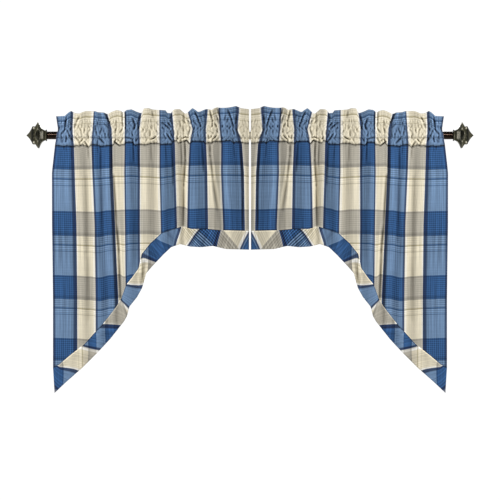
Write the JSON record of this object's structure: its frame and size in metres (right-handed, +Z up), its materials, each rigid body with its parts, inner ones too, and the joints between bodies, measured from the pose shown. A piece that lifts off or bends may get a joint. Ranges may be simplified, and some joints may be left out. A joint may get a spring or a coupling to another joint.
{
  "type": "swag and tail drape with curtain rod",
  "caption": "Mirrored gathered swag panels with ruffled headings and bias bands, falling to long outer tails, hung on a rod with square faceted finials.",
  "frame": {"origin": "on the rod's axis, halfway between its ends, at mount rod_support", "axes": "+X along the rod to the viewer's right, +Y away from the room towards the wall, +Z up"},
  "size_m": [1.4322, 0.082, 0.9157],
  "materials": {
    "plaid_cotton": "yarn-dyed blue, cream and taupe plaid, plain weave, matt",
    "bias_cotton": "the same plaid cut on the bias, matt",
    "rod_bronze": "dark oil-rubbed bronze, satin",
    "finial_pewter": "antique pewter, rubbed, satin"
  },
  "bodies": {
    "root": {"panel_left": "plaid_cotton", "panel_right": "plaid_cotton", "band_left": "bias_cotton", "band_right": "bias_cotton", "rod": "rod_bronze", "finial_left": "finial_pewter", "finial_right": "finial_pewter"}
  },
  "joints": []
}
